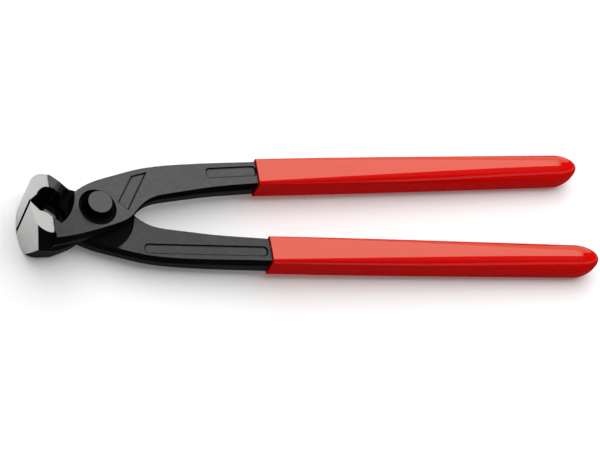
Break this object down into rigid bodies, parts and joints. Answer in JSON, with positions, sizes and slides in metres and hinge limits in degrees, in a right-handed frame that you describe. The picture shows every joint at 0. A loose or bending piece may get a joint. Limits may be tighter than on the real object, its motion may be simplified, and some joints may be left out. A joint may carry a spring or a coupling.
{
  "type": "rebar tying pliers",
  "caption": "Long-handled tying pliers with wide end-cutting jaws, a riveted lap joint and dipped plastic grips, for twisting and cutting binding wire.",
  "frame": {"origin": "middle of the rivet's lower flat face, on the axis that the levers turn on", "axes": "+X along the closed pliers towards the handle ends, +Z along the rivet's axis, up, and +Y towards the upper handle"},
  "size_m": [0.2198, 0.0506, 0.0232],
  "materials": {
    "black_steel": "forged and blackened, satin, with jaw tips ground bright",
    "rivet_steel": "turned and blackened, satin",
    "red_plastic": "smooth, semi-gloss"
  },
  "bodies": {
    "lower": {"lever_lower": "black_steel", "grip_lower": "red_plastic", "rivet": "rivet_steel"},
    "upper": {"lever_upper": "black_steel", "grip_upper": "red_plastic"}
  },
  "joints": [
    {"name": "open", "type": "hinge", "parent": "lower", "child": "upper", "pos_m": [0, 0, 0.0108], "axis": [0, 0, 1], "range_deg": [0, 40]}
  ]
}
